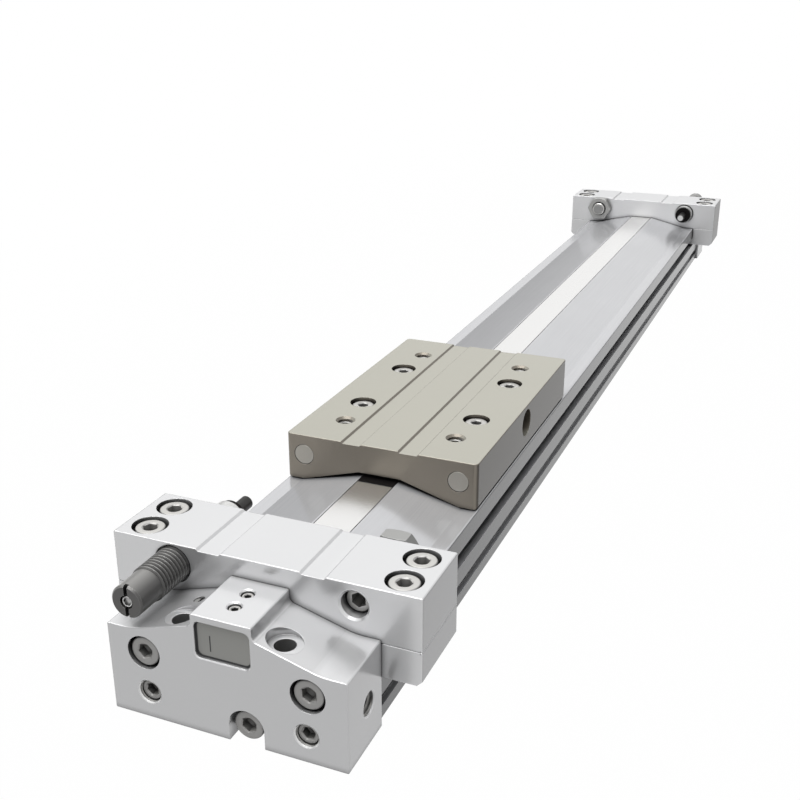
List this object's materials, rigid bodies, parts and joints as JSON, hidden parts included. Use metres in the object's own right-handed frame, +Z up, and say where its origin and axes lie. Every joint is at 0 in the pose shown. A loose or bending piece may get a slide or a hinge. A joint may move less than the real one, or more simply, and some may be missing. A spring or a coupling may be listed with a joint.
{
  "type": "rodless pneumatic cylinder",
  "caption": "Slotted-tube rodless cylinder: a carriage table slides along a sealed band between two head covers, with clamped adjusting units, stop bolts and shock absorbers.",
  "frame": {"origin": "under the middle of the tube, on the face that the cylinder stands on", "axes": "+X along the tube from the near cover to the far one, +Y to the left of someone looking along +X, +Z up out of the carriage table"},
  "size_m": [0.4412, 0.071, 0.0322],
  "materials": {
    "tube_anodised": "satin anodised, fine lengthwise drawing lines",
    "cover_machined": "bright satin anodised, machined",
    "table_anodised": "champagne hard anodised, satin",
    "stainless_band": "bright rolled stainless band",
    "screw_steel": "nickel plated steel",
    "clamp_grey": "matte grey",
    "absorber_steel": "dark grey phosphated steel",
    "hard_steel": "ground hardened steel",
    "black_rubber": "matte",
    "dark_resin": "matte",
    "brass": "turned",
    "spring_steel": "bright spring wire"
  },
  "bodies": {
    "root": {"cylinder_tube": "tube_anodised", "dust_band": "stainless_band", "seal_band": "stainless_band", "head_cover_near": "cover_machined", "head_cover_far": "cover_machined", "band_clamp_near": "clamp_grey", "band_clamp_far": "clamp_grey", "band_clamp_screws": "screw_steel", "cover_gasket_near": "black_rubber", "cover_gasket_far": "black_rubber", "cover_screws_near": "screw_steel", "cover_screws_far": "screw_steel", "port_plugs": "screw_steel", "cushion_needle_near": "brass", "cushion_needle_far": "brass", "cushion_spigot_near": "cover_machined", "cushion_spigot_far": "cover_machined", "adjusting_unit_near": "cover_machined", "adjusting_unit_far": "cover_machined", "clamp_bracket_left_near": "cover_machined", "clamp_bracket_left_far": "cover_machined", "clamp_bracket_right_near": "cover_machined", "clamp_bracket_right_far": "cover_machined", "unit_screws_near": "screw_steel", "unit_screws_far": "screw_steel", "stop_nut_near": "screw_steel", "stop_nut_far": "screw_steel", "absorber_body_near": "absorber_steel", "absorber_body_far": "absorber_steel", "absorber_collar_near": "black_rubber", "absorber_collar_far": "black_rubber", "absorber_spring_near": "spring_steel", "absorber_spring_far": "spring_steel"},
    "carriage": {"carriage_table": "table_anodised", "carriage_screws": "screw_steel", "stop_discs": "hard_steel", "piston_yoke": "cover_machined", "piston_dowels": "hard_steel", "piston_magnets": "dark_resin", "piston_near": "cover_machined", "piston_far": "cover_machined", "piston_seal_near": "black_rubber", "piston_seal_far": "black_rubber", "wear_ring_near": "dark_resin", "wear_ring_far": "dark_resin", "band_guide_near": "dark_resin", "band_guide_far": "dark_resin", "scraper_near": "black_rubber", "scraper_far": "black_rubber", "roller_shafts": "hard_steel", "bearing_pads": "dark_resin"},
    "roller_near": {"guide_roller_near": "dark_resin"},
    "roller_far": {"guide_roller_far": "dark_resin"},
    "absorber_plunger_near": {"absorber_rod_near": "hard_steel"},
    "absorber_plunger_far": {"absorber_rod_far": "hard_steel"},
    "stop_set_near": {"stop_bolt_near": "screw_steel", "stop_bumper_near": "black_rubber"},
    "stop_set_far": {"stop_bolt_far": "screw_steel", "stop_bumper_far": "black_rubber"}
  },
  "joints": [
    {"name": "carriage_slide", "type": "slide", "parent": "root", "child": "carriage", "axis": [1, 0, 0], "range_m": [-0.0286, 0.2351], "deforming": ["dust_band", "seal_band"]},
    {"name": "roller_near_spin", "type": "hinge", "parent": "carriage", "child": "roller_near", "pos_m": [-0.1392, 0, 0.02556], "axis": [0, 1, 0], "continuous": true},
    {"name": "roller_far_spin", "type": "hinge", "parent": "carriage", "child": "roller_far", "pos_m": [-0.0674, 0, 0.02556], "axis": [0, 1, 0], "continuous": true},
    {"name": "absorber_stroke_near", "type": "slide", "parent": "root", "child": "absorber_plunger_near", "axis": [-1, 0, 0], "range_m": [0, 0.0055], "stiffness_N_per_m": 350, "springref_m": -0.01, "deforming": ["absorber_spring_near"]},
    {"name": "absorber_stroke_far", "type": "slide", "parent": "root", "child": "absorber_plunger_far", "axis": [1, 0, 0], "range_m": [0, 0.0055], "stiffness_N_per_m": 350, "springref_m": -0.01, "deforming": ["absorber_spring_far"]},
    {"name": "stop_adjust_near", "type": "slide", "parent": "root", "child": "stop_set_near", "axis": [1, 0, 0], "range_m": [-0.004, 0.0015]},
    {"name": "stop_adjust_far", "type": "slide", "parent": "root", "child": "stop_set_far", "axis": [-1, 0, 0], "range_m": [-0.004, 0.0015]}
  ],
  "couplings": [
    {"joint": "roller_near_spin", "follows": "carriage_slide", "rad_per_m": 500},
    {"joint": "roller_far_spin", "follows": "carriage_slide", "rad_per_m": 500}
  ]
}
